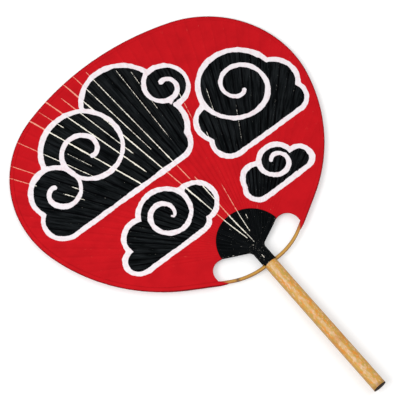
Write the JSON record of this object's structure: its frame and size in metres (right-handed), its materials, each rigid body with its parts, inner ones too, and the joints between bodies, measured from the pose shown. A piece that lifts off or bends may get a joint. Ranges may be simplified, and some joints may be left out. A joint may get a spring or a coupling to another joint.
{
  "type": "round uchiwa fan",
  "caption": "Rigid hand fan: split bamboo ribs between two round paper faces, bound to a bent bow and a round bamboo handle.",
  "frame": {"origin": "centre of the handle's butt face", "axes": "+Y up the handle to the crown of the head, +Z out of the front face, +X to the right seen from the front"},
  "size_m": [0.2674, 0.3588, 0.0116],
  "materials": {
    "culm_bamboo": "polished bamboo skin",
    "dark_plug": "dark stained",
    "bow_bamboo": "shaved bamboo",
    "rib_bamboo": "split bamboo",
    "thread": "twisted cotton",
    "red_paper": "printed paper, worn along the ribs",
    "edge_paper": "folded paper strip",
    "black_paper": "printed paper, worn along the ribs"
  },
  "bodies": {
    "root": {"handle": "culm_bamboo", "handle_plug": "dark_plug", "bow": "bow_bamboo", "binding_thread": "thread", "front_paper": "red_paper", "back_paper": "red_paper", "edge_strip": "edge_paper", "front_neck_paper": "black_paper", "back_neck_paper": "black_paper", "rib_01": "rib_bamboo", "rib_02": "rib_bamboo", "rib_03": "rib_bamboo", "rib_04": "rib_bamboo", "rib_05": "rib_bamboo", "rib_06": "rib_bamboo", "rib_07": "rib_bamboo", "rib_08": "rib_bamboo", "rib_09": "rib_bamboo", "rib_10": "rib_bamboo", "rib_11": "rib_bamboo", "rib_12": "rib_bamboo", "rib_13": "rib_bamboo", "rib_14": "rib_bamboo", "rib_15": "rib_bamboo", "rib_16": "rib_bamboo", "rib_17": "rib_bamboo", "rib_18": "rib_bamboo", "rib_19": "rib_bamboo", "rib_20": "rib_bamboo", "rib_21": "rib_bamboo", "rib_22": "rib_bamboo", "rib_23": "rib_bamboo", "rib_24": "rib_bamboo", "rib_25": "rib_bamboo", "rib_26": "rib_bamboo", "rib_27": "rib_bamboo", "rib_28": "rib_bamboo", "rib_29": "rib_bamboo", "rib_30": "rib_bamboo", "rib_31": "rib_bamboo", "rib_32": "rib_bamboo", "rib_33": "rib_bamboo", "rib_34": "rib_bamboo", "rib_35": "rib_bamboo", "rib_36": "rib_bamboo", "rib_37": "rib_bamboo", "rib_38": "rib_bamboo", "rib_39": "rib_bamboo", "rib_40": "rib_bamboo", "rib_41": "rib_bamboo", "rib_42": "rib_bamboo", "rib_43": "rib_bamboo", "rib_44": "rib_bamboo", "rib_45": "rib_bamboo"}
  },
  "joints": []
}
